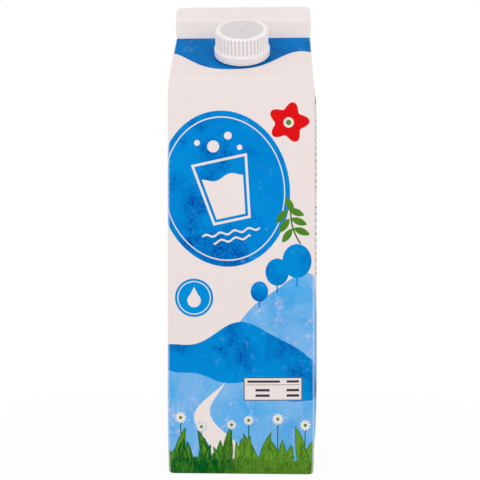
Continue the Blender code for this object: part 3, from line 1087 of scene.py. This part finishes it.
def lay_side_rules(sheet, u, up, panel, look):
    """Rows of plain bars on the two side panels, broken into lengths as if by words, in two blocks of
    eleven rows under a heading."""
    across = (u - 1.5 * panel).wrapped(panel)
    row = (up / SIDE_PITCH).floor()
    first, second, _ = chance(row, 5.0)
    along = across + first * 4.0
    cell = (along / SIDE_CELL).floor()
    left_out = chance(cell + row * 31.0, 9.0)[0]
    bars = bar(along - (cell + 0.5) * SIDE_CELL, up - (row + 0.5) * SIDE_PITCH, 0.0, 0.0, 1.9, 0.42)
    ends = (abs(across + 4.0) - 26.0).most(across - second * 16.0 - 8.0)
    from_middle = abs(up - 41 * SIDE_PITCH)
    bars = bars.most(ends).most(from_middle - 12 * SIDE_PITCH).most(-from_middle + SIDE_PITCH)
    sheet.lay(bars.inside() * (-left_out + 1.0).rise(0.12, 0.13) * 0.85, look.ink)
    sheet.fill(bar(across, up, -12.0, 183.0, 17.0, 1.6), look.hill_mid)


def lay_roof_field(sheet, x, up, fold, panel, look, paint):
    """The blue field under the fin's fold, with a waved lower edge, and the fin's unprinted board lightened
    with painted light, more so on its upper, two-layer stretch.
    """
    fold_line = (fold.form.shoulder_height + fold.roof_length) / MM
    edge = hill(x, up, fold_line - 27.0, ((9.5, 2, -1.15), (1.8, 4, 2.4)), panel)
    sheet.lay((-edge).inside() * (up - fold_line).inside(), paint.blue(look.roof_blue))
    # Painted light: the fin's board is lightened where the roof and cap shade it, more on its two-layer
    # stretch.
    sheet.lay((-up + fold_line).inside(0.5) * 0.14, look.crease)
    sheet.lay((-up + fold_line + TWO_LAYERS_UP).inside(2.0) * 0.2, look.crease)


def board_material(fold, look):
    """The printed board: white, drawn on with the print, lighter along the upright creases: partly
    wear of the ink at the folds, partly a painted highlight.
    """
    panel = fold.panel / MM
    material, tree, shader, space = new_material("printed_board", 0.42)
    flat = flat_place(tree)
    u, up, _ = flat.split()
    x = (u - 0.5 * panel).wrapped(panel)
    place = joined(x, up)
    fibre = flat.noise(6.0, detail=4.0, roughness=0.6, seed=7.0)

    sheet = Sheet(tree, look.board)
    paint = Paint(flat, sheet, look)
    sheet.lay(fibre.rise(0.35, 0.8) * 0.5, toned(look.board, 0.965))
    lay_side_rules(sheet, u, up, panel, look)
    lay_hills(sheet, x, up, panel, look, paint)
    lay_trees(sheet, place, look, paint)
    lay_meadow(sheet, x, up, panel, look, paint)
    middle = lay_oval(sheet, place, look, paint)
    lay_glass(sheet, middle, look)
    lay_blossom(sheet, place, look, paint)
    lay_sprig(sheet, place, look, paint)
    lay_drop_disc(sheet, place, look, paint)
    lay_ruled_frame(sheet, place, look)
    lay_roof_field(sheet, x, up, fold, panel, look, paint)

    # Partly wear where the ink cracks at the folds, partly a painted highlight along the upright creases.
    from_crease = abs(u.wrapped(panel / 2))
    sheet.lay((from_crease - 0.5).inside(0.6) * (paint.speck * 0.25 + 0.3), look.crease)
    sheet.fill(-up + (RAW_EDGE_ROW - 20.0), look.raw_edge)
    sheet.lay((abs(up - RAW_EDGE_ROW) - 0.05).inside(0.05), toned(look.raw_edge, 0.25))
    sheet.fill(up - BASE_ROW / 2, look.board)
    set_inputs(
        shader, {"Base Color": sheet.top, "Roughness": fibre * 0.12 + 0.36, "Specular IOR Level": 0.02}
    )
    tooth = space.noise(1.4, roughness=0.55, seed=4.0)
    add_bump(shader, tooth * 0.35 + fibre, 0.00012)
    return material


# The studio


FLOOR_RADIUS = 4.0
FLOOR_CLEARS = (60.0, 380.0)
KEY_ASIDE = 0.75
KEY_AWAY = 0.85
KEY_HEIGHT = 0.6
KEY_AIM = (0.0, 0.0, 0.12)
KEY_SIZE = (0.6, 0.7)


def add_camera(look, form):
    """The camera: level, in front of the carton and turned round it by a small angle."""
    camera = new_object("camera", bpy.data.cameras.new("camera"))
    sine, cosine = math.sin(look.camera_turn), math.cos(look.camera_turn)
    aside, away = -look.camera_side, -(form.half_side + look.camera_distance)
    camera.location = (cosine * aside - sine * away, sine * aside + cosine * away, look.camera_height)
    camera.rotation_euler = (math.pi / 2, 0.0, look.camera_turn)
    camera.data.lens = look.lens
    camera.data.sensor_width = 36.0
    bpy.context.scene.camera = camera


def add_floor(look):
    """A wide pale floor that lets the white surround through, more so away from the carton."""
    material, tree, shader, place = new_material("pale_floor", 0.6)
    sheet = Sheet(tree, look.floor_colour)
    sheet.lay(place.noise(30.0, detail=2.0) * 0.02, (0.8, 0.8, 0.8))
    set_inputs(shader, {"Base Color": sheet.top, "Specular IOR Level": 0.1})
    span = place.scaled(1.0, 1.0, 0.0).span()
    share = span.rise(*FLOOR_CLEARS) * (1 - look.floor_clearness) + look.floor_clearness
    clear = new_node(tree, "BsdfTransparent", {})
    mix = new_node(tree, "MixShader", {0: share, 1: shader.outputs[0], 2: clear.outputs[0]})
    set_inputs(tree.nodes["Material Output"], {"Surface": mix.outputs[0]})
    turn = np.linspace(2 * np.pi, 0.0, 97)
    radius = FLOOR_RADIUS * np.linspace(0.0, 1.0, 9)[:, None] ** 2
    points = points_of(radius * np.cos(turn), radius * np.sin(turn), 0.0)
    mesh = bpy.data.meshes.new("floor")
    mesh.from_pydata(points.reshape(-1, 3), [], grid_quads(*points.shape[:2]))
    mesh.materials.append(material)
    new_object("floor", mesh)


def add_surround(look):
    """A uniform white surround: full white where it is seen, and softer as the light it gives."""
    world = bpy.data.worlds.new("white_surround")
    bpy.context.scene.world = world
    world.use_nodes = True
    tree = world.node_tree
    white = (1.0, 1.0, 1.0)
    light = tree.nodes["Background"]
    set_inputs(light, {"Color": white, "Strength": look.surround})
    seen = new_node(tree, "Background", {"Color": white})
    path = new_node(tree, "LightPath", {})
    inputs = {0: path.outputs["Is Camera Ray"], 1: light.outputs[0], 2: seen.outputs[0]}
    set_inputs(tree.nodes["World Output"], {"Surface": new_node(tree, "MixShader", inputs).outputs[0]})


def add_key_lights(look):
    """Two large soft lights in front, one on each side, above the camera and turned to the carton."""
    for name, side in (("left_light", -1), ("right_light", 1)):
        light = bpy.data.lights.new(name, "AREA")
        light.shape = "RECTANGLE"
        light.size, light.size_y = KEY_SIZE
        light.energy = look.key_power / 2
        key = new_object(name, light)
        key.location = (side * KEY_ASIDE, -KEY_AWAY, KEY_HEIGHT)
        x, y, z = np.array(KEY_AIM) - np.array(key.location)
        key.rotation_euler = (math.atan2(math.hypot(x, y), -z), 0.0, math.atan2(y, x) - math.pi / 2)


# Registration and the run


class CARTON_OT_folded_board(bpy.types.Operator):
    """Builds the folded and printed board in the place of the carton's plain solid"""

    bl_idname = "carton.folded_board"
    bl_label = "Folded board"

    def execute(self, context):
        scene = context.scene
        board = board_material(Fold(scene.carton_form), scene.print_look)
        piece = make_folded_board(scene.carton_form, board)
        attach(piece, "root")
        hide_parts("carton")
        return {"FINISHED"}


class CARTON_OT_screw_cap(bpy.types.Operator):
    """Builds the ribbed cap with its tamper band in the place of the cap's plain solid"""

    bl_idname = "carton.screw_cap"
    bl_label = "Screw cap"

    def execute(self, context):
        scene = context.scene
        piece = make_cap(scene.cap_form, scene.carton_form, cap_material(scene.cap_form))
        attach(piece, "root")
        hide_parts("cap")
        return {"FINISHED"}


class CARTON_OT_neck(bpy.types.Operator):
    """Gives the neck under the cap its plastic"""

    bl_idname = "carton.neck"
    bl_label = "Neck"

    def execute(self, context):
        plastic = neck_material(context.scene.cap_form)
        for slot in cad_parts["neck"].material_slots:
            slot.material = plastic
        return {"FINISHED"}


class CARTON_OT_stage(bpy.types.Operator):
    """Sets up the camera, the floor and the light"""

    bl_idname = "carton.stage"
    bl_label = "Stage"

    def execute(self, context):
        look = context.scene.studio_look
        add_camera(look, context.scene.carton_form)
        add_floor(look)
        add_key_lights(look)
        add_surround(look)
        context.scene.view_settings.view_transform = "Standard"
        return {"FINISHED"}


class CARTON_PT_panel(bpy.types.Panel):
    """Lists the carton's pieces and what can be changed on them"""

    bl_idname = "CARTON_PT_panel"
    bl_label = "Milk carton"
    bl_space_type = "VIEW_3D"
    bl_region_type = "UI"
    bl_category = "Carton"

    def draw(self, context):
        for name, group in GROUPS.items():
            box = self.layout.box()
            for key in group.__annotations__:
                box.prop(getattr(context.scene, name), key)
        for kind in OPERATORS:
            self.layout.operator(kind.bl_idname)


GROUPS = {
    "carton_form": CartonForm,
    "cap_form": CapForm,
    "print_look": PrintLook,
    "studio_look": StudioLook,
}
OPERATORS = (CARTON_OT_stage, CARTON_OT_folded_board, CARTON_OT_neck, CARTON_OT_screw_cap)
CLASSES = (*GROUPS.values(), *OPERATORS, CARTON_PT_panel)


def register():
    for kind in CLASSES:
        bpy.utils.register_class(kind)
    for name, group in GROUPS.items():
        setattr(bpy.types.Scene, name, PointerProperty(type=group))


def unregister():
    for name in GROUPS:
        delattr(bpy.types.Scene, name)
    for kind in reversed(CLASSES):
        bpy.utils.unregister_class(kind)


def main():
    register()
    bpy.ops.carton.stage()
    bpy.ops.carton.folded_board()
    bpy.ops.carton.neck()
    bpy.ops.carton.screw_cap()


if __name__ == "__main__":
    main()
